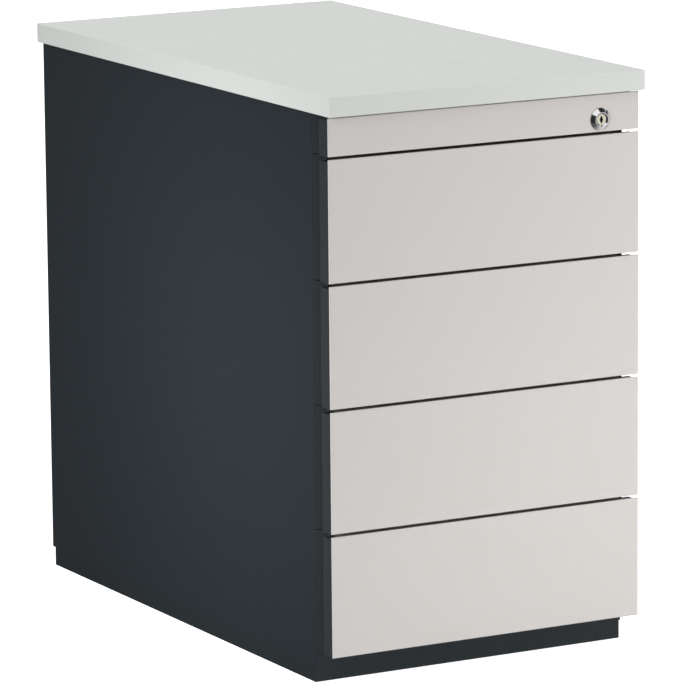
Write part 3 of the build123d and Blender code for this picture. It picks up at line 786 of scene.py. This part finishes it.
def round_rectangle(rectangle, radius, z, steps=6):
    """Points round a rectangle with round corners, at a height."""
    left, right, front, back = inset(rectangle, radius)
    points = []
    for k, (x, y) in enumerate(((right, back), (left, back), (left, front), (right, front))):
        for step in range(steps + 1):
            angle = (k + step / steps) * math.pi / 2
            points.append(Vector((x + radius * math.cos(angle), y + radius * math.sin(angle), z)))
    return points


def new_ring(shape, points):
    """A ring of new points, and its edges."""
    row = [shape.verts.new(point) for point in points]
    return row, [shape.edges.new((row[i - 1], row[i])) for i in range(len(row))]


print("points round a rectangle:", len(round_rectangle((0, 2, 0, 1), 0.2, 0)))

# %% Tray
tray_wall, tray_floor = 2.0 * millimetre, 2.0 * millimetre
lip_reach, lip_height, lip_setback = 11.0 * millimetre, 5.4 * millimetre, 7.0 * millimetre
pen_length, pen_troughs = 190.0 * millimetre, 3
pocket_corner, pocket_round = 12 * millimetre, 10 * millimetre
draft, rim_round = 0.8 * millimetre, 0.6 * millimetre

tray_low, tray_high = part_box("utility_tray")
tray_left, tray_right = tray_low.x + lip_reach, tray_high.x - lip_reach
tray_front, tray_back = tray_low.y, tray_high.y
tray_top = tray_high.z
tray_body = (tray_left, tray_right, tray_front, tray_back)


def tray_pockets():
    """The rectangles of the troughs for pens, and of the bin behind them."""
    pen_front = tray_front + tray_wall
    pen_back = pen_front + pen_length
    pitch = (tray_right - tray_left - tray_wall) / pen_troughs
    for k in range(pen_troughs):
        yield tray_left + k * pitch + tray_wall, tray_left + (k + 1) * pitch, pen_front, pen_back
    yield tray_left + tray_wall, tray_right - tray_wall, pen_back + tray_wall, tray_back - tray_wall


def pocket_rings(pocket, round_steps=6):
    """The rings of a pocket below its rim."""
    floor_z = tray_low.z + tray_floor
    steps = [(0.0, tray_top - rim_round), (draft, floor_z + pocket_round)]
    for k in range(1, round_steps + 1):
        angle = k / round_steps * math.pi / 2
        inwards, above = pocket_round * (1 - math.cos(angle)), pocket_round * (1 - math.sin(angle))
        steps.append((draft + inwards, floor_z + above))
    return [round_rectangle(inset(pocket, margin), pocket_corner - margin, z) for margin, z in steps]


def tray_shell(shape):
    """Outside, pockets and the flat rim between them."""
    narrow = inset(tray_body, rim_round)
    row, rim = new_ring(shape, round_rectangle(narrow, tray_wall, tray_top))
    outside = [(tray_body, tray_top - rim_round), (tray_body, tray_low.z + rim_round), (narrow, tray_low.z)]
    wrap(shape, row, [round_rectangle(rectangle, tray_wall, z) for rectangle, z in outside])
    for pocket in tray_pockets():
        mouth = round_rectangle(inset(pocket, -rim_round), pocket_corner + rim_round, tray_top)
        row, edge = new_ring(shape, mouth)
        rim += edge
        wrap(shape, row, pocket_rings(pocket))
    bmesh.ops.triangle_fill(shape, use_beauty=True, edges=rim)


def tray_lips(shape):
    """The lips along both sides, which slide in the runners."""
    bottom = tray_top - lip_height
    soft = [
        (rim_round, bottom), (0.0, bottom + rim_round),
        (0.0, tray_top - rim_round), (rim_round, tray_top),
    ]
    for left, right in ((tray_low.x, tray_left), (tray_right, tray_high.x)):
        lip = (left, right, tray_front + lip_setback, tray_back)
        skin(shape, [round_rectangle(inset(lip, margin), tray_wall, z) for margin, z in soft])


shape = bmesh.new()
tray_shell(shape)
tray_lips(shape)
smooth(piece("utility_tray_moulded", shape, "utility_drawer", "tray_plastic", "utility_tray"), degrees=35)
print("pockets in the tray:", len(list(tray_pockets())))
